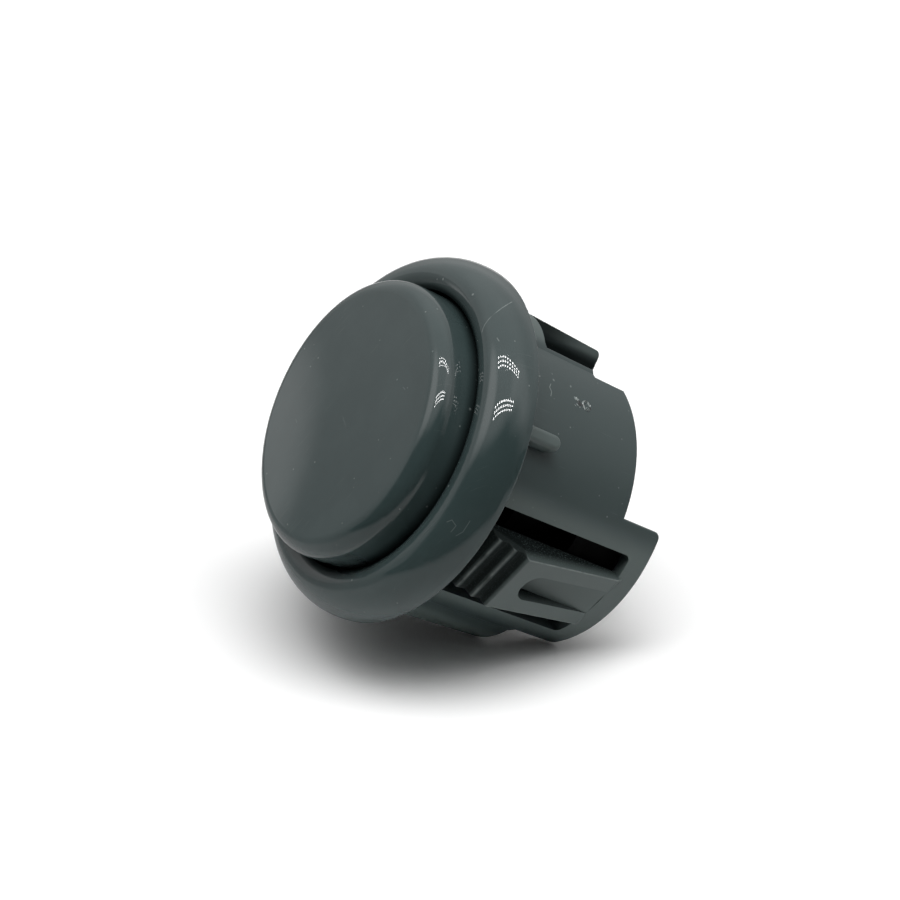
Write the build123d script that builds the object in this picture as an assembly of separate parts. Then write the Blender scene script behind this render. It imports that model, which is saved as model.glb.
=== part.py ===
from build123d import *
from math import cos, radians, sin, sqrt, tan
import os

# Snap-in arcade push button for a round panel hole, in millimetres.
# +Z is the push axis with the pressed face up, and the origin is the centre of the panel seat.
# The snap tabs point along +X and -X.

os.makedirs("parts", exist_ok=True)

# panel and rim
hole_diameter = 30.0
rim_overhang = 1.65
rim_height = 4.15
rim_wall = 3.71
rim_crest_inset = 2.41
rim_belly = 0.72
rim_lip_round = 0.5
rim_seat_round = 0.25
well_floor = 0.5

# barrel
barrel_room = 1.82
barrel_draft = 0.5
wall = 1.55
barrel_length = 15.15
seat_fillet = 0.5
barrel_edge = 0.2
wing_drop = 4.6
wing_angle = 36.0
wing_round = 0.6

# snap tabs
slot_width = 10.3
slot_top = 1.6
slot_foot = 2.18
slot_round = 0.6
tab_width = 6.1
tab_bite = 0.12
tab_peak_depth = 6.05
tab_steps = 3
tab_tread = 1.07
tab_undercut = 0.2
tab_riser = 0.4
tab_riser_rise = 0.79
tab_step_round = 0.16
tab_edge = 0.1
tab_root = 0.3
tab_sink = 0.05
pocket_width = 2.9
pocket_start = 1.85

# locating pads, ribs and leg windows
pad_angle = 118.5
pad_margin = 4.5
pad_clear = 0.19
pad_draft = 2.2
pad_round = 0.6
rib_angle = 50.0
rib_width = 1.4
rib_length = 4.95
rib_clear = 0.35
rib_round = 0.45
window_top = 5.55
window_span = 20.5
notch_span = 4.7
notch_depth = 11.4

# plunger
head_gap = 0.3
head_rise = 3.4
head_edge = 1.5
head_crown = 0.25
head_wall = 1.7
head_floor_gap = 0.2
travel = 2.2
skirt_gap = 0.3
skirt_wall = 1.3
skirt_end = 3.2
boss_radius = 2.0
boss_end = 4.0
leg_width = 3.5
leg_length = 5.3
hook_gap = 0.1
hook_reach = 0.95
hook_land = 0.8

# switch
push_gap = 0.05
stem_radius = 2.0
stem_fit = 0.06
stem_reserve = 0.3
cover_height = 1.2
spigot_height = 0.8
case_gap = 0.55
case_wall = 1.2
case_fit = 0.05
case_floor = 1.95
flange_height = 1.3
flange_fit = 0.1
flange_step = 0.25
bead_height = 0.7
bead_depth = 0.35
bead_inset = 1.1
key_width = 3.3
key_reach = 0.45
ear_wall = 2.2
ear_relief = 0.7
ear_inset = 0.6
collar_radius = 4.6
collar_height = 1.2
collar_gap = 0.05
bridge_length = 11.0
bridge_width = 3.0
metal = 0.4
contact_offset = 4.3
contact_radius = 0.8
contact_height = 0.35
contact_gap = 0.05
terminal_width = 2.8
terminal_metal = 0.5
terminal_offset = 5.6
terminal_drop = 9.5
terminal_hole = 1.3
terminal_tip = 0.7
spring_wire = 0.4
spring_gap = 0.25
spring_turns = 5.0
spring_pocket = 1.25

# radii that follow from the sizes above
hole_radius = hole_diameter / 2
rim_radius = hole_radius + rim_overhang
crest_radius = rim_radius - rim_crest_inset
well_radius = rim_radius - rim_wall
head_radius = well_radius - head_gap
barrel_radius = hole_radius - barrel_room
bore_radius = barrel_radius - wall
skirt_radius = bore_radius - skirt_gap
skirt_inner = skirt_radius - skirt_wall
case_radius = skirt_inner - case_gap
cup_radius = case_radius - case_wall
flange_radius = bore_radius + flange_step - flange_fit

# heights down the push axis
wing_end = -(barrel_length + wing_drop)
slot_end = wing_end + slot_foot
head_top = rim_height + head_rise
head_bottom = well_floor + head_floor_gap + travel
hook_top = -(window_top + hook_gap)
leg_end = -(skirt_end + leg_length)
stem_top = -(boss_end + push_gap)
cover_top = stem_top - travel - stem_reserve
cover_bottom = cover_top - cover_height
collar_top = cover_bottom - collar_gap
bridge_top = collar_top - collar_height
bridge_bottom = bridge_top - metal
touch = bridge_bottom - contact_height
fixed_top = touch - travel - contact_gap
plate_top = fixed_top - contact_height
floor_top = plate_top - terminal_metal
case_bottom = floor_top - case_floor
flange_bottom = -(barrel_length - bead_height - bead_inset)
flange_top = flange_bottom + flange_height
terminal_end = case_bottom - terminal_drop
spring_bottom = floor_top - spring_pocket


def polar(radius, angle):
    return (radius * cos(radians(angle)), radius * sin(radians(angle)))


def lathe(face):
    return revolve(Plane.XZ * face, axis=Axis.Z)


def tongue(points, width):
    # a side profile in the XZ plane, pulled to the given width about it
    return extrude(Plane.XZ * make_face(Polyline(*points, close=True)), width / 2, both=True)


def both_sides(shape):
    return [shape, Rot(0, 0, 180) * shape]


# rim and barrel are turned from one section
rim_box = Pos((well_radius + rim_radius) / 2, rim_height / 2) * Rectangle(rim_wall, rim_height)
rim_oval = Pos(crest_radius, rim_belly) * Ellipse(rim_crest_inset, rim_height - rim_belly)
rim_face = rim_oval & rim_box
lip = rim_face.vertices().sort_by(Axis.Y)[-1]
rim_face = fillet(lip, rim_lip_round)
foot = rim_face.vertices().sort_by(Axis.Y)[:2].sort_by(Axis.X)[-1]
rim_face = fillet(foot, rim_seat_round)
tube_end = barrel_radius + wing_end * tan(radians(barrel_draft))
seat_bore = bore_radius + flange_step
bead_top = flange_bottom - 0.05
tube_face = make_face(
    Polyline(
        (bore_radius, well_floor),
        (bore_radius, flange_top),
        (seat_bore, flange_top),
        (seat_bore, bead_top),
        (seat_bore - bead_depth, bead_top - bead_height / 2),
        (seat_bore, bead_top - bead_height),
        (seat_bore, wing_end),
        (tube_end, wing_end),
        (barrel_radius, 0),
        (barrel_radius, well_floor),
        close=True,
    )
)
section = rim_face + tube_face
inner_corner = section.vertices().sort_by_distance((barrel_radius, 0))[0]
body = lathe(fillet(inner_corner, seat_fillet))

# between the two wings the barrel stops short
wing_corners = [
    polar(cup_radius, -wing_angle),
    polar(rim_radius, -wing_angle),
    polar(rim_radius, wing_angle),
    polar(cup_radius, wing_angle),
]
wing = Pos(0, 0, wing_end) * extrude(make_face(Polyline(*wing_corners, close=True)), -wing_end)
wing_sides = wing.faces().sort_by(Axis.Z)[0].edges().sort_by(SortBy.LENGTH)
wing_sides = wing_sides.filter_by(lambda edge: abs(edge.center().Y) > wing_round)
wing = fillet(wing_sides, wing_round)
tail_height = 2 * wing_drop
tail = Pos(0, 0, -barrel_length - tail_height / 2) * Cylinder(rim_radius, tail_height)
for piece in both_sides(wing):
    tail -= piece
body -= tail


def lies_outside(edge):
    # true for an edge at the outer skin of the barrel's lower end
    middle = edge.center()
    away = edge.distance_to(Vertex(0, 0, middle.Z))
    return middle.Z < -notch_depth and away > bore_radius + wall / 2


body = fillet(body.edges().filter_by(lies_outside), barrel_edge)


# each pad begins a margin before the window that is cut up to its middle
window_start = pad_angle - window_span
pad_spread = window_span + pad_margin


def pad_face(height):
    # bulge that stands out of the barrel to meet the hole, thinner further down
    peak = hole_radius - pad_clear + height * tan(radians(pad_draft))
    edge = barrel_radius - 0.2 * wall
    inside = barrel_radius - 0.6 * wall
    start = polar(edge, pad_angle - pad_spread)
    end = polar(edge, pad_angle + pad_spread)
    outer = ThreePointArc(start, polar(peak, pad_angle), end)
    inner = ThreePointArc(end, polar(inside, pad_angle), start)
    return Pos(0, 0, height) * make_face([outer, inner])


pad = loft([pad_face(-barrel_length), pad_face(seat_fillet)], ruled=True)
pad_rim = pad.faces().sort_by(Axis.Z)[0].edges().sort_by(SortBy.LENGTH)[-1]
pad = fillet(pad_rim, pad_round)

rib_reach = hole_radius - rib_clear
rib_foot = barrel_radius - wall / 2
rib_face = Pos(0, (seat_fillet - rib_length) / 2) * Rectangle(rib_width, rib_length + seat_fillet)
rib_face = fillet(rib_face.vertices().sort_by(Axis.Y)[:2], 0.49 * rib_width)
rib = Pos(rib_foot, 0, 0) * extrude(Plane.YZ * rib_face, rib_reach - rib_foot)
rib_front = rib.faces().sort_by(Axis.X)[-1]
rib = fillet(rib_front.edges().sort_by(Axis.Z)[:-1], rib_round)
for piece in both_sides(pad) + both_sides(Rot(0, 0, rib_angle) * rib):
    body += piece


def sector(start, end, top):
    # wedge through the wall, from the given depth to below the wings
    reach = 1.3 * rim_radius
    corners = [(0, 0), polar(reach, start), polar(reach, end)]
    height = wing_drop - wing_end - top
    ring = Cylinder(reach, height) - Cylinder(cup_radius, height)
    wedge = extrude(make_face(Polyline(*corners, close=True)), height / 2, both=True)
    return Pos(0, 0, -top - height / 2) * (ring & wedge)


# windows for the plunger's legs, with a wider mouth at the open end
window = sector(window_start, pad_angle, window_top)
mouth = sector(window_start - notch_span, window_start + notch_span, notch_depth)
for piece in both_sides(window) + both_sides(mouth):
    body -= piece


def wall_edges(angle):
    # the long outer edges of a cut through the barrel, at the given angle and opposite
    def lies_there(edge):
        middle = edge.center()
        across = middle.X * sin(radians(angle)) - middle.Y * cos(radians(angle))
        reach = sqrt(middle.X ** 2 + middle.Y ** 2)
        return abs(across) < barrel_edge and reach > bore_radius + wall / 2 and edge.length > wall
    return body.edges().filter_by(lies_there)


body = fillet(wall_edges(window_start), barrel_edge)

# slots that free the snap tabs on three sides
slot_face = Pos(0, (slot_end - slot_top) / 2) * Rectangle(slot_width, -slot_end - slot_top)
slot_face = fillet(slot_face.vertices(), slot_round)
slot = Pos(case_radius, 0, 0) * extrude(Plane.YZ * slot_face, rim_radius - case_radius)

# wedge-shaped tabs: grip steps climb from the free end to the peak, a cored pocket runs to the hinge
tab_half = tab_width / 2
hinge_radius = barrel_radius + slot_end * tan(radians(barrel_draft))
hinge_out = hinge_radius - tab_sink
hinge_end = slot_end - slot_foot / 2
hinge_in = sqrt(hinge_radius ** 2 - tab_half ** 2) - tab_root
tab_in = bore_radius + tab_root
peak_out = hole_radius + tab_bite
tip_out = peak_out
tip_height = -tab_peak_depth
steps = []
for _ in range(tab_steps):
    steps += [(tip_out, tip_height), (tip_out - tab_riser_rise, tip_height + tab_riser)]
    tip_out -= tab_riser_rise - tab_undercut
    tip_height += tab_riser + tab_tread
tab_line = [*steps, (tab_in, steps[-1][1]), (tab_in, hinge_end), (hinge_in, hinge_end)]
tab_face = make_face(Polyline(*tab_line, (hinge_out, slot_end), close=True))
tab_face = fillet(tab_face.vertices().sort_by(Axis.X)[-len(steps):], tab_step_round)
tab = extrude(Plane.XZ * tab_face, tab_half, both=True)
pocket_top = -(tab_peak_depth + pocket_start)
pocket_height = pocket_top - slot_end
pocket_face = Pos(0, pocket_top - pocket_height / 2) * Rectangle(pocket_width, pocket_height)
pocket_face = fillet(pocket_face.vertices().sort_by(Axis.Y)[2:], 0.49 * pocket_width)
tab -= Pos(hinge_out, 0, 0) * extrude(Plane.YZ * pocket_face, hole_radius)
front = tab.faces().filter_by(GeomType.PLANE).sort_by(Axis.X)[-1]
tab = fillet(front.edges(), tab_edge)
for cut, piece in zip(both_sides(slot), both_sides(tab)):
    body -= cut
    body += piece

# plunger: domed head, guide skirt, centre boss and two hooked legs
flat = head_radius - head_edge
edge_knee = head_edge * (1 - sqrt(0.5))
head_line = Polyline(
    (head_radius, head_top - head_edge),
    (head_radius, head_bottom),
    (skirt_radius, head_bottom),
    (skirt_radius, -skirt_end),
    (skirt_inner, -skirt_end),
    (skirt_inner, head_top - head_wall),
    (boss_radius, head_top - head_wall),
    (boss_radius, -boss_end),
    (0, -boss_end),
    (0, head_top + head_crown),
)
crown = ThreePointArc(
    (0, head_top + head_crown),
    (flat / 2, head_top + 0.75 * head_crown),
    (flat, head_top),
)
edge = ThreePointArc(
    (flat, head_top),
    (head_radius - edge_knee, head_top - edge_knee),
    (head_radius, head_top - head_edge),
)
plunger = lathe(make_face([*head_line.edges(), crown, edge]))
leg_out = sqrt(skirt_radius ** 2 - (leg_width / 2) ** 2)
leg = tongue(
    [
        (skirt_inner, -skirt_end + skirt_wall / 2),
        (leg_out, -skirt_end + skirt_wall / 2),
        (leg_out, hook_top),
        (leg_out + hook_reach, hook_top),
        (leg_out + hook_reach, hook_top - hook_land),
        (leg_out, leg_end),
        (skirt_inner, leg_end),
    ],
    leg_width,
)
leg_angle = pad_angle - window_span / 2
for piece in both_sides(Rot(0, 0, leg_angle) * leg):
    plunger += piece

# switch case: cup with a flange that seats under the shoulder and two keys in the leg windows
spring_radius = stem_radius * 0.75 + spring_gap + spring_wire
pocket_radius = spring_radius + spring_wire / 2 + spring_gap
case = lathe(
    make_face(
        Polyline(
            (0, spring_bottom),
            (pocket_radius, spring_bottom),
            (pocket_radius, floor_top),
            (cup_radius, floor_top),
            (cup_radius, cover_bottom),
            (case_radius, cover_bottom),
            (case_radius, flange_top),
            (flange_radius, flange_top),
            (flange_radius, flange_bottom),
            (case_radius, flange_bottom),
            (case_radius, case_bottom),
            (0, case_bottom),
            close=True,
        )
    )
)
key = tongue(
    [
        (case_radius - case_wall / 2, flange_bottom),
        (flange_radius + key_reach, flange_bottom),
        (flange_radius + key_reach, flange_top),
        (case_radius - case_wall / 2, flange_top),
    ],
    key_width,
)
for piece in both_sides(Rot(0, 0, leg_angle) * key):
    case += piece

# ears under the flange fill the hollow of the wings, with room behind the snap tabs
ear_radius = seat_bore - bead_depth - flange_fit
ear_out = tab_in - ear_relief
ear_end = wing_end + ear_inset
ear_width = 2 * (ear_radius * sin(radians(wing_angle)) - ear_inset)
ear_height = flange_top - ear_end
ear_middle = (flange_top + ear_end) / 2
ear = Pos(ear_out - ear_wall / 2, 0, ear_middle) * Box(ear_wall, ear_width, ear_height)
ear &= Pos(0, 0, ear_middle) * Cylinder(ear_radius, ear_height)
for piece in both_sides(ear):
    case += piece
blade_slot = Pos(terminal_offset, 0, (floor_top + case_bottom) / 2) * Box(
    terminal_metal + 2 * case_fit, terminal_width + 2 * case_fit, 2 * case_floor
)
for piece in both_sides(blade_slot):
    case -= piece

cover = lathe(
    make_face(
        Polyline(
            (stem_radius + stem_fit, cover_top),
            (case_radius, cover_top),
            (case_radius, cover_bottom),
            (cup_radius - case_fit, cover_bottom),
            (cup_radius - case_fit, cover_bottom - spigot_height),
            (cup_radius - case_fit - case_wall, cover_bottom - spigot_height),
            (cup_radius - case_fit - case_wall, cover_bottom),
            (stem_radius + stem_fit, cover_bottom),
            close=True,
        )
    )
)

# actuator: stem through the cover, stop collar and a pilot that centres the bridge and the spring
pilot_radius = stem_radius * 0.75
pilot_end = bridge_bottom - 2 * spring_wire
actuator = lathe(
    make_face(
        Polyline(
            (0, stem_top),
            (stem_radius, stem_top),
            (stem_radius, collar_top),
            (collar_radius, collar_top),
            (collar_radius, bridge_top),
            (pilot_radius, bridge_top),
            (pilot_radius, pilot_end),
            (0, pilot_end),
            close=True,
        )
    )
)

bridge_mid = (bridge_top + bridge_bottom) / 2
bridge = Pos(0, 0, bridge_mid) * Box(bridge_length, bridge_width, metal)
bridge = fillet(bridge.edges().filter_by(Axis.Z), bridge_width / 4)
bridge += Pos(0, 0, bridge_mid) * Cylinder(spring_radius + spring_wire, metal)
bridge -= Pos(0, 0, bridge_mid) * Cylinder(pilot_radius + case_fit, 2 * metal)
bridge_point = Pos(contact_offset, 0, bridge_bottom - contact_height / 2) * Cylinder(
    contact_radius, contact_height
)
fixed_point = Pos(contact_offset, 0, fixed_top - contact_height / 2) * Cylinder(
    contact_radius, contact_height
)

# terminals: a foot on the case floor carries the fixed contact, the blade leaves through the floor
foot_length = terminal_offset + terminal_metal / 2 - contact_offset + contact_radius + 0.2
blade_height = plate_top - terminal_end
terminal = Pos(terminal_offset, 0, plate_top - blade_height / 2) * Box(
    terminal_metal, terminal_width, blade_height
)
tips = terminal.edges().filter_by(Axis.X).sort_by(Axis.Z)[:2]
terminal = chamfer(tips, terminal_tip)
terminal += Pos(
    terminal_offset + terminal_metal / 2 - foot_length / 2, 0, plate_top - terminal_metal / 2
) * Box(foot_length, terminal_width, terminal_metal)
terminal -= Pos(terminal_offset, 0, terminal_end + 2.2 * terminal_hole) * (
    Rot(0, 90, 0) * Cylinder(terminal_hole / 2, 3 * terminal_metal)
)

# return spring inside the case, from the pocket in its floor to the bridge
spring_height = bridge_bottom - spring_bottom - spring_wire
coil_path = Helix(spring_height / spring_turns, spring_height, spring_radius)
wire_section = Plane(coil_path @ 0, z_dir=coil_path % 0) * Circle(spring_wire / 2)
spring = Pos(0, 0, spring_bottom + spring_wire / 2) * sweep(wire_section, coil_path, is_frenet=True)

parts = {
    "button_body": body,
    "plunger_cap": plunger,
    "switch_case": case,
    "switch_cover": cover,
    "switch_actuator": actuator,
    "contact_bridge": bridge,
    "bridge_contact_a": bridge_point,
    "bridge_contact_b": Rot(0, 0, 180) * bridge_point,
    "fixed_contact_a": fixed_point,
    "fixed_contact_b": Rot(0, 0, 180) * fixed_point,
    "terminal_a": terminal,
    "terminal_b": Rot(0, 0, 180) * terminal,
    "return_spring": spring,
}
for name, shape in parts.items():
    export_step(shape, f"parts/{name}.step")
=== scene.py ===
import math
import bpy
from mathutils import Euler, Matrix, Vector


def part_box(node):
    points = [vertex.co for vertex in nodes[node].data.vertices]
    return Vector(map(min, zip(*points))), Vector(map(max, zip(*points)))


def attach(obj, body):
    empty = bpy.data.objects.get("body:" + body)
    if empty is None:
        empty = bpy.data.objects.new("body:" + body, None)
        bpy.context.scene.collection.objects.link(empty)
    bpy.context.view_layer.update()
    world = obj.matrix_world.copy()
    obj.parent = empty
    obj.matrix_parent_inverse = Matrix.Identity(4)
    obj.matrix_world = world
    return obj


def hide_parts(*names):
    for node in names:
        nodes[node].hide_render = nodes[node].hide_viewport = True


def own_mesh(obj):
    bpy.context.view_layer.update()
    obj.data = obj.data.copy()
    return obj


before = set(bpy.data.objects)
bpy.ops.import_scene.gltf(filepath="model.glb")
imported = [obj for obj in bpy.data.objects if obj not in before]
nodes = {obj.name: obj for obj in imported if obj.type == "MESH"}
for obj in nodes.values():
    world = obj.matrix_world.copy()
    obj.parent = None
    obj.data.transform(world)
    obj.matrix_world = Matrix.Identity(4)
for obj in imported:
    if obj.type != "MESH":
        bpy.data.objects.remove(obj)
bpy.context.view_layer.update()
mm = 0.001
scene = bpy.context.scene
scene.view_settings.view_transform = "Standard"
print("frame loaded:", len(nodes), "nodes")


class Wire:
    # one shader socket: sums and products on it become Math nodes

    def __init__(self, tree, socket=None):
        self.tree = tree
        self.socket = socket

    def add(self, kind, settings, sockets, output=0):
        node = self.tree.nodes.new("ShaderNode" + kind)
        for name, value in settings.items():
            setattr(node, name, value)
        for name, value in sockets.items():
            if isinstance(value, Wire):
                self.tree.links.new(value.socket, node.inputs[name])
            else:
                node.inputs[name].default_value = value
        return Wire(self.tree, node.outputs[output] if node.outputs else None)

    def math(self, operation, first, second=0.0):
        return self.add("Math", {"operation": operation}, {0: first, 1: second})

    def __add__(self, other):
        return self.math("ADD", self, other)

    def __radd__(self, other):
        return self.math("ADD", other, self)

    def __sub__(self, other):
        return self.math("SUBTRACT", self, other)

    def __rsub__(self, other):
        return self.math("SUBTRACT", other, self)

    def __mul__(self, other):
        return self.math("MULTIPLY", self, other)

    def __rmul__(self, other):
        return self.math("MULTIPLY", other, self)

    def __truediv__(self, other):
        return self.math("DIVIDE", self, other)

    def __rtruediv__(self, other):
        return self.math("DIVIDE", other, self)

    def least(self, other):
        return self.math("MINIMUM", self, other)

    def most(self, other):
        return self.math("MAXIMUM", self, other)

    def magnitude(self):
        return self.math("ABSOLUTE", self)

    def fade(self, start, end):
        # 0 at start, 1 at end, smooth between them
        limits = {"Value": self, "From Min": start, "From Max": end}
        return self.add("MapRange", {"interpolation_type": "SMOOTHSTEP"}, limits)


def screenTone(red, green, blue):
    # a colour as read on a screen, in the linear values that shaders take
    levels = [part / 255 for part in (red, green, blue)]
    return (*[v / 12.92 if v <= 0.04045 else ((v + 0.055) / 1.055) ** 2.4 for v in levels], 1.0)


def mixTone(root, factor, first, second):
    # a Mix node keeps its colours in sockets 6 and 7 and gives its colour on output 2
    return root.add("Mix", {"data_type": "RGBA"}, {0: factor, 6: first, 7: second}, 2)


def dot(root, first, second):
    return root.add("VectorMath", {"operation": "DOT_PRODUCT"}, {0: first, 1: second}, "Value")


def axisPart(root, vector, axis):
    return root.add("SeparateXYZ", {}, {"Vector": vector}, axis)


def rayIs(root, kind):
    return root.add("LightPath", {}, {}, "Is " + kind + " Ray")


def bump(root, height, strength, depth):
    return root.add("Bump", {}, {"Height": height, "Strength": strength, "Distance": depth * mm})


softDetail, patchDetail, fineDetail = 2.0, 3.0, 4.0    # layers of finer noise in a cloud


def cloud(root, point, size, detail=softDetail):
    # soft noise about 0.5 with patches of the given size in millimetres
    return root.add("TexNoise", {}, {"Vector": point, "Scale": 1 / (size * mm), "Detail": detail}, "Fac")


def streaks(root, point, turn, size):
    # noise on a turned and stretched point, so that it runs in streaks
    angles = [math.radians(angle) for angle in turn]
    scale = [1 / (side * mm) for side in size]
    run = root.add("Mapping", {}, {"Vector": point, "Rotation": angles, "Scale": scale})
    return root.add("TexNoise", {}, {"Vector": run, "Scale": 1.0, "Detail": 1.0}, "Fac")


markCore = 0.3    # the share of a speck or scratch that has its full strength
chanceEdge = 0.01    # how sharply a cell of specks is kept or dropped


def specks(root, point, size, spacing, share):
    # round dots, one to a cell of the given spacing, kept in a share of the cells
    cells = {"Vector": point, "Scale": 1 / (spacing * mm)}
    distance = root.add("TexVoronoi", {}, cells, "Distance")
    cellTone = root.add("TexVoronoi", {}, cells, "Color")
    chance = root.add("SeparateColor", {}, {"Color": cellTone}, "Red")
    reach = size / spacing
    return (1 - distance.fade(markCore * reach, reach)) * (1 - chance.fade(share, share + chanceEdge))


def polarPoint(angle, radius, height):
    turn = math.radians(angle)
    return Vector((radius * math.cos(turn), radius * math.sin(turn), height)) * mm


def scratch(root, point, stops, width):
    # a fine line through points given as angle, radius and height
    places = [polarPoint(*stop) for stop in stops]
    nearest = None
    for start, end in zip(places, places[1:]):
        run = end - start
        fromStart = root.add("VectorMath", {"operation": "SUBTRACT"}, {0: point, 1: start})
        share = (dot(root, fromStart, run) / run.length_squared).most(0.0).least(1.0)
        onLine = root.add("VectorMath", {"operation": "SCALE"}, {0: run, "Scale": share})
        away = root.add("VectorMath", {"operation": "DISTANCE"}, {0: fromStart, 1: onLine}, "Value")
        nearest = away if nearest is None else nearest.least(away)
    return 1 - nearest.fade(markCore * width * mm, width * mm)


def newMaterial(name):
    material = bpy.data.materials.new(name)
    material.use_nodes = True
    material.node_tree.nodes.clear()
    return material, Wire(material.node_tree)


def closeMaterial(root, surface):
    root.add("OutputMaterial", {}, {"Surface": surface})


def dress(material, *names):
    for name in names:
        nodes[name].data.materials.clear()
        nodes[name].data.materials.append(material)


# camera: the photograph's viewing angle, read from the ellipses of the rim and the cap
cameraSet = {
    "lens": 85.565, "sensor": 36.0, "nearest": 5.0,
    "place": (132.04, 81.91, 105.72), "turn": (28.738, 48.765, 67.687),
}
cameraData = bpy.data.cameras.new("camera")
cameraData.lens = cameraSet["lens"]
cameraData.sensor_width = cameraSet["sensor"]
cameraData.clip_start = cameraSet["nearest"] * mm
camera = bpy.data.objects.new("camera", cameraData)
camera.location = Vector(cameraSet["place"]) * mm
camera.rotation_euler = Euler([math.radians(angle) for angle in cameraSet["turn"]])
scene.collection.objects.link(camera)
scene.camera = camera
axes = camera.rotation_euler.to_matrix()
toRight, toTop, toCamera = axes.col[0], axes.col[1], axes.col[2]
print("camera placed")

# floor: the button lies tilted, so the floor leans in the button's own frame
floorSet = {
    "fall": 25.0, "side": 1600.0, "white": 1.06, "gloss": 0.58, "bounce": 1.0,
    "front": (-48.0, -34.0), "left": (-85.0, -42.0), "right": (64.0, 90.0), "dim": 0.04, "aside": 0.6,
}
fall = math.radians(floorSet["fall"])
floorUp = toCamera * math.sin(fall) + toTop * math.cos(fall)
towards = (toCamera - floorUp * math.sin(fall)).normalized()
lowest = min(floorUp.dot(vertex.co) for node in nodes.values() for vertex in node.data.vertices)
bpy.ops.object.select_all(action="DESELECT")
bpy.ops.mesh.primitive_plane_add(size=floorSet["side"] * mm, location=floorUp * lowest)
floor = bpy.context.active_object
floor.name = "floor"
floor.rotation_euler = Matrix((toRight, -towards, floorUp)).transposed().to_euler()
material, root = newMaterial("floor_paper")
point = root.add("TexCoord", {}, {}, "Object")
across = axisPart(root, point, "X") / mm
behind = axisPart(root, point, "Y") / mm
# the white sheet ends just outside the picture: beyond it the table is darker in the gloss,
# most of all on the camera's side
sheet = behind.fade(*floorSet["front"]) * (1 - floorSet["dim"]) + floorSet["dim"]
middle = across.fade(*floorSet["left"]) * (1 - across.fade(*floorSet["right"]))
sheet = sheet * (middle * (1 - floorSet["aside"]) + floorSet["aside"])
seen = rayIs(root, "Camera")
mirrored = rayIs(root, "Glossy").most(rayIs(root, "Transmission"))
level = mirrored * (floorSet["gloss"] - floorSet["bounce"]) + floorSet["bounce"]
level = seen * floorSet["white"] + (1 - seen) * sheet * level
tone = root.add("CombineColor", {}, {"Red": level, "Green": level, "Blue": level})
paper = root.add("BsdfDiffuse", {}, {"Color": tone})
clear = root.add("BsdfTransparent", {}, {})
under = root.add("NewGeometry", {}, {}, "Backfacing")
closeMaterial(root, root.add("MixShader", {}, {0: under, 1: paper, 2: clear}))
floor.data.materials.append(material)
print("floor laid")


def heading(turn, rise):
    # a direction in the room: degrees to the right of the camera's side, degrees above the floor
    level = toRight * math.sin(math.radians(turn)) + towards * math.cos(math.radians(turn))
    return level * math.cos(math.radians(rise)) + floorUp * math.sin(math.radians(rise))


# surroundings: soft light from overhead; in the gloss pale walls, a pale ceiling,
# a dark room on the camera's side and three brighter panels
worldSet = {
    "rim": 0.05, "top": 7.6, "reach": (1.05, 0.45), "lean": (0.04, 0.2), "horizon": (0.0, 0.1),
    "wall": 0.75, "wallFoot": 0.52, "wallRise": (0.0, 0.35), "frontSide": (0.2, 0.5),
    "crown": 0.35, "crownRise": (0.5, 0.85), "ceiling": 1.05, "ceilingRise": (0.56, 0.78),
    "panels": (
        {"turn": 72.0, "rise": 38.0, "glow": 0.5, "spread": (0.9, 0.98)},
        {"turn": -65.0, "rise": 52.0, "glow": 1.2, "spread": (0.91, 0.985)},
        {"turn": -125.0, "rise": 1.0, "glow": 0.55, "spread": (0.989, 0.997)},
    ),
}
world = bpy.data.worlds.new("surroundings")
scene.world = world
world.use_nodes = True
world.node_tree.nodes.clear()
root = Wire(world.node_tree)
direction = root.add("TexCoord", {}, {}, "Generated")
rise = dot(root, direction, floorUp)
# the light is an oval overhead, brightest in its middle and leaning a little towards the camera
aside = (dot(root, direction, toRight) - worldSet["lean"][0]) / worldSet["reach"][0]
forward = (dot(root, direction, towards) - worldSet["lean"][1]) / worldSet["reach"][1]
apart = root.math("SQRT", aside * aside + forward * forward)
overhead = (1 - apart.fade(0.0, 1.0)) * rise.fade(*worldSet["horizon"])
lightLevel = overhead * worldSet["top"] + worldSet["rim"]
inFront = dot(root, direction, towards).fade(*worldSet["frontSide"])
wall = rise.fade(*worldSet["wallRise"]) * (1 - worldSet["wallFoot"]) + worldSet["wallFoot"]
wall = wall * worldSet["wall"] + rise.fade(*worldSet["crownRise"]) * worldSet["crown"]
ceiling = rise.fade(*worldSet["ceilingRise"]) * worldSet["ceiling"]
roomLevel = (1 - inFront) * wall + inFront * ceiling
for panel in worldSet["panels"]:
    near = dot(root, direction, heading(panel["turn"], panel["rise"]))
    roomLevel = roomLevel + near.fade(*panel["spread"]) * panel["glow"]
mirrored = rayIs(root, "Glossy")
seen = rayIs(root, "Camera").most(rayIs(root, "Transmission"))
level = mirrored * roomLevel + (1 - mirrored) * lightLevel
sky = root.add("Background", {}, {"Color": (1.0, 1.0, 1.0, 1.0), "Strength": seen + (1 - seen) * level})
root.add("OutputWorld", {}, {"Surface": sky})

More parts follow.
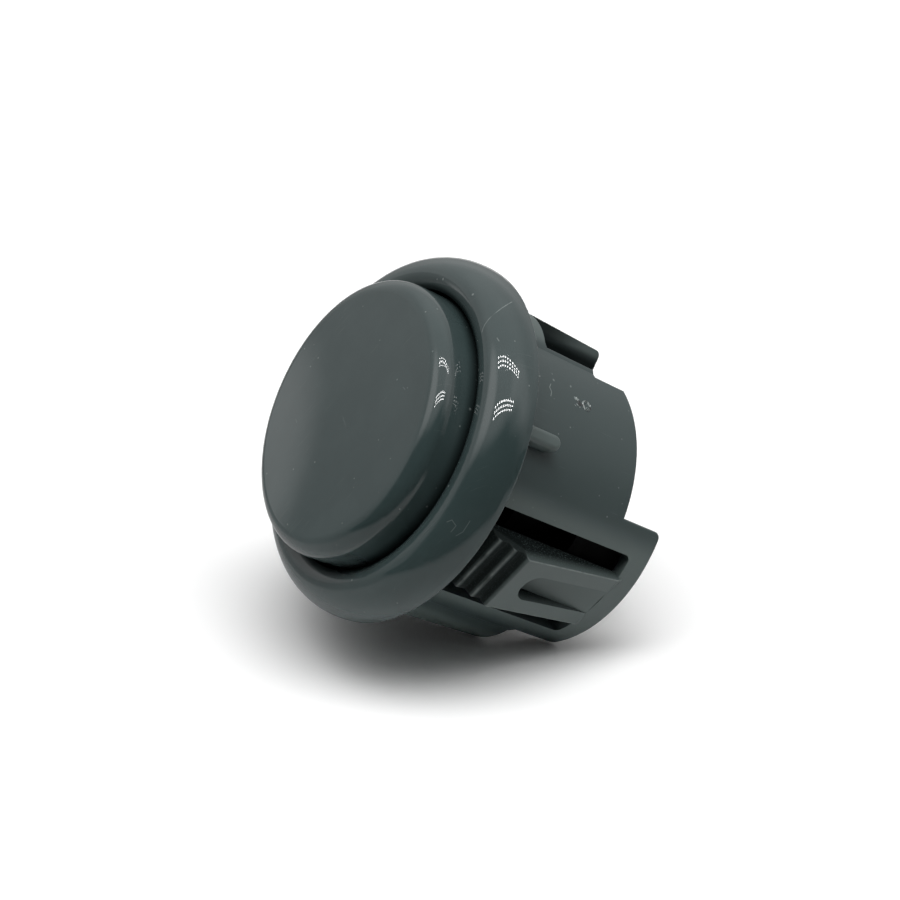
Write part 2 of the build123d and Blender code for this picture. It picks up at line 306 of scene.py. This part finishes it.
# two banks of small lights overhead, which only show in the gloss
bankSet = {
    "rise": 300.0, "rows": 3, "columns": 10, "pitch": 34.0, "first": -50.0,
    "dot": 8.0, "sides": 8, "glow": 45.0,
    "banks": (
        {"away": 30.0, "rowGap": 13.0, "across": 3.0},
        {"away": 172.0, "rowGap": 21.0, "across": 4.8},
    ),
}
material, root = newMaterial("bank_glow")
closeMaterial(root, root.add("Emission", {}, {"Strength": bankSet["glow"]}))
sides = bankSet["sides"]
for number, side in enumerate(bankSet["banks"]):
    corners = []
    for row in range(bankSet["rows"]):
        for column in range(bankSet["columns"]):
            centre = floorUp * bankSet["rise"] + towards * (side["away"] + row * side["rowGap"])
            centre += toRight * (bankSet["first"] + column * bankSet["pitch"])
            for step in range(sides):
                turn = math.radians(360 / sides * step)
                along = toRight * math.cos(turn) * bankSet["dot"]
                corners.append((centre + along + towards * math.sin(turn) * side["across"]) * mm)
    mesh = bpy.data.meshes.new("light_bank")
    mesh.from_pydata(corners, [], [range(first, first + sides) for first in range(0, len(corners), sides)])
    mesh.materials.append(material)
    bank = bpy.data.objects.new("light_bank_" + "ab"[number], mesh)
    bank.visible_camera = False
    bank.visible_diffuse = False
    bank.visible_shadow = False
    scene.collection.objects.link(bank)
print("lights set")

# grey plastic: polished on the cap and the rim, satin on everything below the panel seat.
# lengths are in millimetres, and a pair is where a fade starts and ends
plasticSet = {
    "tone": (58, 71, 71), "deep": (54, 67, 67), "patchSize": 5.0, "patchFade": (0.3, 0.7),
    "under": (48, 60, 60), "underShare": 0.7, "seat": (-0.2, 0.1), "gloss": 0.018, "satin": 0.4,
    "grainSize": 0.16, "grainRough": 0.08, "hazeSize": 1.2, "hazeRough": 0.01,
    "bump": 0.2, "bumpDepth": 0.01,
}
# snap tabs: the outer face is furthest out at its peak, where the grip steps start
tabSet = {
    "peak": (15.12, -6.05), "slope": 0.186,
    "stepSlope": 0.4, "stepRise": (0.0, 0.2), "stepSide": (12.4, 12.8),
    "side": (3.2, 3.5), "out": (11.4, 11.8), "foot": (-17.8, -17.5),
    "edge": (118, 126, 124), "edgeSide": (2.88, 3.02), "edgeDepth": (0.03, 0.14), "edgeShare": 0.3,
    "edgePatchSize": 0.7, "edgePatchFade": (0.3, 0.6), "edgePatchShare": 0.5,
}


def placesOf(root, polished):
    # what the masks ask of a point: its height, how far out it lies, and where it is on a tab
    point = root.add("TexCoord", {}, {}, "Object")
    height = axisPart(root, point, "Z") / mm
    aside = axisPart(root, point, "X").magnitude() / mm
    sideways = axisPart(root, point, "Y").magnitude() / mm
    flat = root.add("VectorMath", {"operation": "MULTIPLY"}, {0: point, 1: (1 / mm, 1 / mm, 0.0)})
    radius = root.add("VectorMath", {"operation": "LENGTH"}, {0: flat}, "Value")
    satin = 0.0 if polished else 1 - height.fade(*plasticSet["seat"])
    peakOut, peakHeight = tabSet["peak"]
    climb = height - peakHeight
    face = peakOut + climb.least(0.0) * tabSet["slope"] - climb.most(0.0) * tabSet["stepSlope"]
    steps = climb.fade(*tabSet["stepRise"]) * aside.fade(*tabSet["stepSide"])
    onTab = (1 - sideways.fade(*tabSet["side"])) * aside.fade(*tabSet["out"]) * satin
    return {
        "point": point, "height": height, "aside": aside, "sideways": sideways, "flat": flat,
        "radius": radius, "satin": satin, "sunk": face - aside, "steps": steps,
        "onTab": onTab * height.fade(*tabSet["foot"]),
    }


def paleEdges(root, at):
    # the crests of the grip steps and the long edges of the snap tabs are made paler, in patches
    edge = at["steps"].most(at["sideways"].fade(*tabSet["edgeSide"]))
    edge = edge * (1 - at["sunk"].fade(*tabSet["edgeDepth"])) * at["onTab"]
    patches = cloud(root, at["point"], tabSet["edgePatchSize"]).fade(*tabSet["edgePatchFade"])
    return edge * (patches * tabSet["edgePatchShare"] + tabSet["edgeShare"])


# wear: specks as size, spacing, share of cells and strength, and faint lines; then painted light that makes
# the outer faces paler
wearAndLightSet = {
    "tone": (140, 148, 146), "rough": 0.3, "dent": 0.6,
    "specks": ((0.11, 0.9, 0.22, 0.45), (0.17, 2.4, 0.35, 0.6)),
    "lineTurns": ((0, 0, 25), (0, 0, 112), (30, 0, 68)), "lineSize": (0.06, 5.0, 5.0),
    "lineFade": (0.72, 0.78), "lineArea": 4.0, "lineAreaFade": (0.5, 0.62), "lineShare": 0.14,
    "paintedLight": (87, 98, 96), "paintedLightRadius": (13.3, 13.8), "paintedLightSide": (10.8, 12.0), "paintedLightShare": 0.75,
}


def wear(root, point, marks):
    masks = []
    for size, spacing, share, strength in wearAndLightSet["specks"]:
        masks.append(specks(root, point, size, spacing, share) * strength)
    for turn in wearAndLightSet["lineTurns"]:
        line = streaks(root, point, turn, wearAndLightSet["lineSize"]).fade(*wearAndLightSet["lineFade"])
        area = cloud(root, point, wearAndLightSet["lineArea"]).fade(*wearAndLightSet["lineAreaFade"])
        masks.append(line * area * wearAndLightSet["lineShare"])
    for stops, width, strength in marks:
        masks.append(scratch(root, point, stops, width) * strength)
    worn = masks[0]
    for mask in masks[1:]:
        worn = worn.most(mask)
    return worn


# painted shade: a dull dark film standing for the shade in hollows, with pale grit on the tabs
shadeAndGritSet = {
    "tone": (7, 10, 10), "otherShade": (13, 17, 17), "rough": 0.8, "sheen": 0.0, "wornOff": 0.7,
    "grit": (62, 71, 71), "gritSize": 0.16, "gritFade": (0.5, 0.72), "gritOffSteps": 0.7,
    "stepDepth": (0.02, 0.28), "stepShare": 0.85,
    "crestSize": 1.3, "crestFade": (0.2, 0.75), "crestShare": 0.6,
    "tabFacing": (0.6, 0.9), "tabDepth": (0.1, 1.5), "tabDepthShare": 0.57, "tabShare": 0.4,
    "wallFacing": (0.8, 0.95), "windowSide": (7.3, 7.8), "windowFoot": (-15.3, -15.0), "windowShare": 0.92,
    "windowDepth": (12.8, 14.1), "windowRise": (-14.0, -8.0), "windowRiseShare": 0.85,
    "grooveInner": (12.2, 12.5), "grooveOuter": (13.1, 13.5), "grooveHeight": (3.2, 4.7), "grooveShare": 0.85,
}


def paintedShadeMask(root, at):
    # painted shade lies in the valleys between the grip steps, less on their crests
    valleys = at["sunk"].fade(*shadeAndGritSet["stepDepth"]) * shadeAndGritSet["stepShare"]
    crests = cloud(root, at["point"], shadeAndGritSet["crestSize"], patchDetail).fade(*shadeAndGritSet["crestFade"])
    valleys = valleys.most(crests * shadeAndGritSet["crestShare"]) * at["steps"]
    # painted shade on the sides of the tabs towards the slot
    normal = root.add("NewGeometry", {}, {}, "Normal")
    facing = axisPart(root, normal, "Y").magnitude().fade(*shadeAndGritSet["tabFacing"])
    tabSides = at["sunk"].fade(*shadeAndGritSet["tabDepth"]) * shadeAndGritSet["tabDepthShare"] + shadeAndGritSet["tabShare"]
    paintedShade = valleys.most(facing * tabSides) * at["onTab"]
    # painted shade on the side walls of the leg windows, deeper in and towards the rim
    turned = root.add("VectorMath", {"operation": "CROSS_PRODUCT"}, {0: at["flat"], 1: normal})
    facing = (axisPart(root, turned, "Z").magnitude() / at["radius"]).fade(*shadeAndGritSet["wallFacing"])
    inWindow = facing * (1 - at["aside"].fade(*shadeAndGritSet["windowSide"])) * at["satin"]
    inWindow = inWindow * at["height"].fade(*shadeAndGritSet["windowFoot"])
    deepIn = 1 - at["radius"].fade(*shadeAndGritSet["windowDepth"])
    nearRim = at["height"].fade(*shadeAndGritSet["windowRise"]) * shadeAndGritSet["windowRiseShare"]
    paintedShade = paintedShade.most(inWindow * deepIn.most(nearRim) * shadeAndGritSet["windowShare"])
    # and painted shade in the groove round the cap
    groove = at["radius"].fade(*shadeAndGritSet["grooveInner"]) * (1 - at["radius"].fade(*shadeAndGritSet["grooveOuter"]))
    groove = groove * (1 - at["height"].fade(*shadeAndGritSet["grooveHeight"])) * (1 - at["satin"])
    return paintedShade.most(groove * shadeAndGritSet["grooveShare"])


def plastic(name, polished, marks):
    material, root = newMaterial(name)
    at = placesOf(root, polished)
    point, satin = at["point"], at["satin"]
    patch = cloud(root, point, plasticSet["patchSize"], patchDetail).fade(*plasticSet["patchFade"])
    tone = mixTone(root, patch, screenTone(*plasticSet["deep"]), screenTone(*plasticSet["tone"]))
    if not polished:
        tone = mixTone(root, satin * plasticSet["underShare"], tone, screenTone(*plasticSet["under"]))
    worn = wear(root, point, marks)
    tone = mixTone(root, worn, tone, screenTone(*wearAndLightSet["tone"]))
    # painted light: the outer faces below the seat, the tabs among them, are made paler where light falls on
    # them
    paintedLight = at["radius"].fade(*wearAndLightSet["paintedLightRadius"]).most(at["aside"].fade(*wearAndLightSet["paintedLightSide"]))
    tone = mixTone(root, paintedLight * satin * wearAndLightSet["paintedLightShare"], tone, screenTone(*wearAndLightSet["paintedLight"]))
    tone = mixTone(root, paleEdges(root, at), tone, screenTone(*tabSet["edge"]))
    grain = cloud(root, point, plasticSet["grainSize"]) * satin
    roughness = (plasticSet["satin"] - plasticSet["gloss"]) * satin + plasticSet["gloss"]
    roughness = roughness + cloud(root, point, plasticSet["hazeSize"]) * plasticSet["hazeRough"]
    roughness = roughness + grain * plasticSet["grainRough"] + worn * wearAndLightSet["rough"]
    normal = bump(root, grain - worn * wearAndLightSet["dent"], plasticSet["bump"], plasticSet["bumpDepth"])
    finish = {"Base Color": tone, "Roughness": roughness, "Normal": normal}
    plainPlastic = root.add("BsdfPrincipled", {}, finish)
    # the dull dark film is painted shade; the pale grit on the tabs is real dust
    tone = mixTone(root, patch, screenTone(*shadeAndGritSet["tone"]), screenTone(*shadeAndGritSet["otherShade"]))
    grit = cloud(root, point, shadeAndGritSet["gritSize"], fineDetail).fade(*shadeAndGritSet["gritFade"])
    grit = grit * at["onTab"] * (1 - at["steps"] * shadeAndGritSet["gritOffSteps"])
    tone = mixTone(root, grit, tone, screenTone(*shadeAndGritSet["grit"]))
    finish = {"Base Color": tone, "Roughness": shadeAndGritSet["rough"], "Specular IOR Level": shadeAndGritSet["sheen"]}
    shadeFilm = root.add("BsdfPrincipled", {}, finish)
    paintedShade = paintedShadeMask(root, at) * (1 - worn * shadeAndGritSet["wornOff"])
    closeMaterial(root, root.add("MixShader", {}, {0: paintedShade, 1: plainPlastic, 2: shadeFilm}))
    return material


# scratches: points as angle, radius and height, then width and strength
bodyMarks = [
    (((79.6, 14.36, 4.15), (81.4, 14.67, 4.09), (83.3, 15.19, 3.87), (85.7, 15.86, 3.26)), 0.05, 0.45),
    (((85.7, 15.86, 3.26), (87.8, 16.25, 2.61), (90.2, 16.52, 1.81)), 0.05, 0.6),
    (((75.0, 15.48, 3.66), (73.8, 15.58, 3.57)), 0.06, 0.4),
    (((13.3, 15.53, 3.62), (14.7, 15.71, 3.44), (13.9, 16.04, 3.01), (11.5, 16.0, 3.06)), 0.05, 0.25),
    (((11.3, 16.26, 2.6), (13.4, 16.37, 2.33), (17.2, 16.37, 2.33)), 0.05, 0.25),
    (((75.9, 13.14, -4.73), (74.0, 13.14, -4.5), (72.2, 13.14, -4.7), (70.2, 13.14, -4.57)), 0.06, 0.7),
    (((77.3, 13.15, -3.48), (77.0, 13.15, -3.4)), 0.1, 0.6),
    (((79.8, 13.12, -7.31), (79.3, 13.12, -7.25)), 0.12, 0.6),
]
capMarks = [
    (((60.0, 8.2, 7.68), (58.0, 8.5, 7.67)), 0.05, 0.3),
    (((-130.0, 6.9, 7.73), (-127.0, 6.6, 7.74)), 0.05, 0.3),
]
dress(plastic("cap_polished", True, capMarks), "plunger_cap")
dress(plastic("body_grey", False, bodyMarks), "button_body")
print("grey plastic done")

# black switch plastic, the case darkened beyond its plastic as painted shade, and the pale actuator
innerSet = {
    "case_black_shaded": {
        "tone": (5, 6, 6), "other": (9, 10, 10), "rough": 0.6, "sheen": 0.06,
        "nodes": ("switch_case", "switch_cover"),
    },
    "stem_ivory": {
        "tone": (196, 192, 180), "other": (210, 207, 197), "rough": 0.38, "sheen": 0.5,
        "nodes": ("switch_actuator",),
    },
}
innerLook = {
    "patchSize": 3.0, "hazeSize": 0.8, "hazeRough": 0.15,
    "grainSize": 0.2, "bump": 0.2, "bumpDepth": 0.01,
}
for name, inner in innerSet.items():
    material, root = newMaterial(name)
    point = root.add("TexCoord", {}, {}, "Object")
    patch = cloud(root, point, innerLook["patchSize"], fineDetail)
    tone = mixTone(root, patch, screenTone(*inner["tone"]), screenTone(*inner["other"]))
    roughness = cloud(root, point, innerLook["hazeSize"]) * innerLook["hazeRough"] + inner["rough"]
    grain = cloud(root, point, innerLook["grainSize"])
    finish = {
        "Base Color": tone, "Roughness": roughness, "Specular IOR Level": inner["sheen"],
        "Normal": bump(root, grain, innerLook["bump"], innerLook["bumpDepth"]),
    }
    closeMaterial(root, root.add("BsdfPrincipled", {}, finish))
    dress(material, *inner["nodes"])
print("switch plastic done")

# metals: tinned terminals, brass bridge, silver contact points, spring wire
metalSet = {
    "tinned_brass": {
        "tone": (196, 196, 190), "stain": (168, 160, 140), "rough": 0.28,
        "nodes": ("terminal_a", "terminal_b"),
    },
    "bridge_brass": {
        "tone": (196, 158, 92), "stain": (156, 116, 62), "rough": 0.3,
        "nodes": ("contact_bridge",),
    },
    "point_silver": {
        "tone": (214, 212, 206), "stain": (170, 166, 158), "rough": 0.3,
        "nodes": ("bridge_contact_a", "bridge_contact_b", "fixed_contact_a", "fixed_contact_b"),
    },
    "spring_wire": {
        "tone": (170, 170, 172), "stain": (120, 118, 116), "rough": 0.25,
        "nodes": ("return_spring",),
    },
}
metalLook = {
    "stainSize": 1.6, "stainFade": (0.45, 0.75), "stainRough": 0.15,
    "rolledSize": (0.06, 0.06, 3.0), "rolledRough": 0.18, "bump": 0.15, "bumpDepth": 0.01,
}
metals = {}
for name, metal in metalSet.items():
    material, root = newMaterial(name)
    point = root.add("TexCoord", {}, {}, "Object")
    stain = cloud(root, point, metalLook["stainSize"], fineDetail).fade(*metalLook["stainFade"])
    tone = mixTone(root, stain, screenTone(*metal["tone"]), screenTone(*metal["stain"]))
    rolled = streaks(root, point, (0, 0, 0), metalLook["rolledSize"])
    roughness = rolled * metalLook["rolledRough"] + stain * metalLook["stainRough"] + metal["rough"]
    normal = bump(root, rolled, metalLook["bump"], metalLook["bumpDepth"])
    finish = {"Base Color": tone, "Roughness": roughness, "Metallic": 1.0, "Normal": normal}
    closeMaterial(root, root.add("BsdfPrincipled", {}, finish))
    metals[name] = material
    dress(material, *metal["nodes"])
print("metals done")

# gate marks: two torn moulding points on the barrel, each a raised rim round a pit.
# places are angle, radius and height; insets are the width and rise of each ring, inwards
gateSet = {
    "places": ((73.0, 13.11, -7.78), (73.2, 13.1, -8.88)), "radius": 0.54, "depth": 0.2, "sides": 22,
    "insets": ((0.1, 0.11), (0.05, 0.0), (0.1, -0.17), (0.08, 0.051)), "facesUp": 0.9,
    "ragged": 0.03, "seed": 3, "smooth": 35.0,
    "tone": (80, 92, 91), "rough": 0.3,
    "torn": (196, 203, 201), "tornSize": 0.12, "tornFade": (0.42, 0.66), "tornRough": 0.2,
    "hollow": (20, 26, 26), "hollowSize": 0.4, "hollowFade": (0.5, 0.58),
    "grainSize": 0.08, "bump": 0.6, "bumpDepth": 0.03,
}
material, root = newMaterial("gate_scar")
point = root.add("TexCoord", {}, {}, "Object")
torn = cloud(root, point, gateSet["tornSize"], fineDetail).fade(*gateSet["tornFade"])
tone = mixTone(root, torn, screenTone(*gateSet["tone"]), screenTone(*gateSet["torn"]))
# painted shade: dark patches stand for the shade in the pits
hollow = cloud(root, point, gateSet["hollowSize"]).fade(*gateSet["hollowFade"])
tone = mixTone(root, hollow, tone, screenTone(*gateSet["hollow"]))
roughness = torn * gateSet["tornRough"] + gateSet["rough"]
grain = cloud(root, point, gateSet["grainSize"], fineDetail)
normal = bump(root, grain, gateSet["bump"], gateSet["bumpDepth"])
finish = {"Base Color": tone, "Roughness": roughness, "Normal": normal}
closeMaterial(root, root.add("BsdfPrincipled", {}, finish))
for number, (angle, radius, height) in enumerate(gateSet["places"]):
    bpy.ops.object.select_all(action="DESELECT")
    bpy.ops.mesh.primitive_cylinder_add(
        vertices=gateSet["sides"], radius=gateSet["radius"] * mm, depth=gateSet["depth"] * mm,
        location=(0, 0, -gateSet["depth"] * mm / 2))
    gate = bpy.context.active_object
    gate.name = "gate_mark_" + "ab"[number]
    bpy.ops.object.transform_apply(location=True, rotation=True, scale=True)
    for face in gate.data.polygons:
        face.select = face.normal.z > gateSet["facesUp"]
    bpy.ops.object.mode_set(mode="EDIT")
    bpy.ops.mesh.select_mode(type="FACE")
    for width, rise in gateSet["insets"]:
        bpy.ops.mesh.inset(thickness=width * mm, depth=rise * mm)
    bpy.ops.mesh.select_all(action="SELECT")
    seed = number + gateSet["seed"]
    bpy.ops.transform.vertex_random(offset=gateSet["ragged"] * mm, uniform=1.0, seed=seed)
    bpy.ops.object.mode_set(mode="OBJECT")
    bpy.ops.object.shade_smooth_by_angle(angle=math.radians(gateSet["smooth"]))
    outward = polarPoint(angle, 1.0, 0.0)
    gate.rotation_euler = outward.to_track_quat("Z", "Y").to_euler()
    gate.location = polarPoint(angle, radius, height)
    bpy.ops.object.transform_apply(location=True, rotation=True, scale=True)
    gate.data.materials.append(material)
    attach(gate, "housing")
print("gate marks done")

# return spring: one turned wire
coilSet = {"wire": 0.4, "turns": 5, "steps": 40, "sides": 12, "smooth": 40.0, "travel": 2.2}
low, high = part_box("return_spring")
wireRadius = coilSet["wire"] * mm / 2
coilRadius = high[0] - wireRadius
coilRise = high[2] - low[2] - 2 * wireRadius
bpy.ops.object.select_all(action="DESELECT")
bpy.ops.mesh.primitive_circle_add(
    vertices=coilSet["sides"], radius=wireRadius, location=(coilRadius, 0, low[2] + wireRadius),
    rotation=(math.pi / 2, 0, 0))
coil = bpy.context.active_object
coil.name = "return_coil"
bpy.ops.object.transform_apply(location=True, rotation=True, scale=True)
screw = coil.modifiers.new("wind", "SCREW")
screw.angle = 2 * math.pi * coilSet["turns"]
screw.screw_offset = coilRise
screw.steps = coilSet["steps"] * coilSet["turns"]
screw.render_steps = screw.steps
screw.use_merge_vertices = False
bpy.ops.object.modifier_apply(modifier="wind")
bpy.ops.object.mode_set(mode="EDIT")
bpy.ops.mesh.select_mode(type="VERT")
bpy.ops.mesh.select_all(action="DESELECT")
bpy.ops.mesh.select_non_manifold()
bpy.ops.mesh.edge_face_add()    # closes the two cut ends of the wire
bpy.ops.mesh.select_all(action="SELECT")
bpy.ops.mesh.normals_make_consistent(inside=False)
bpy.ops.object.mode_set(mode="OBJECT")
bpy.ops.object.shade_smooth_by_angle(angle=math.radians(coilSet["smooth"]))
coil.data.materials.append(metals["spring_wire"])
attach(coil, "housing")
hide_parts("return_spring")
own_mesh(coil)
print("return spring wound")
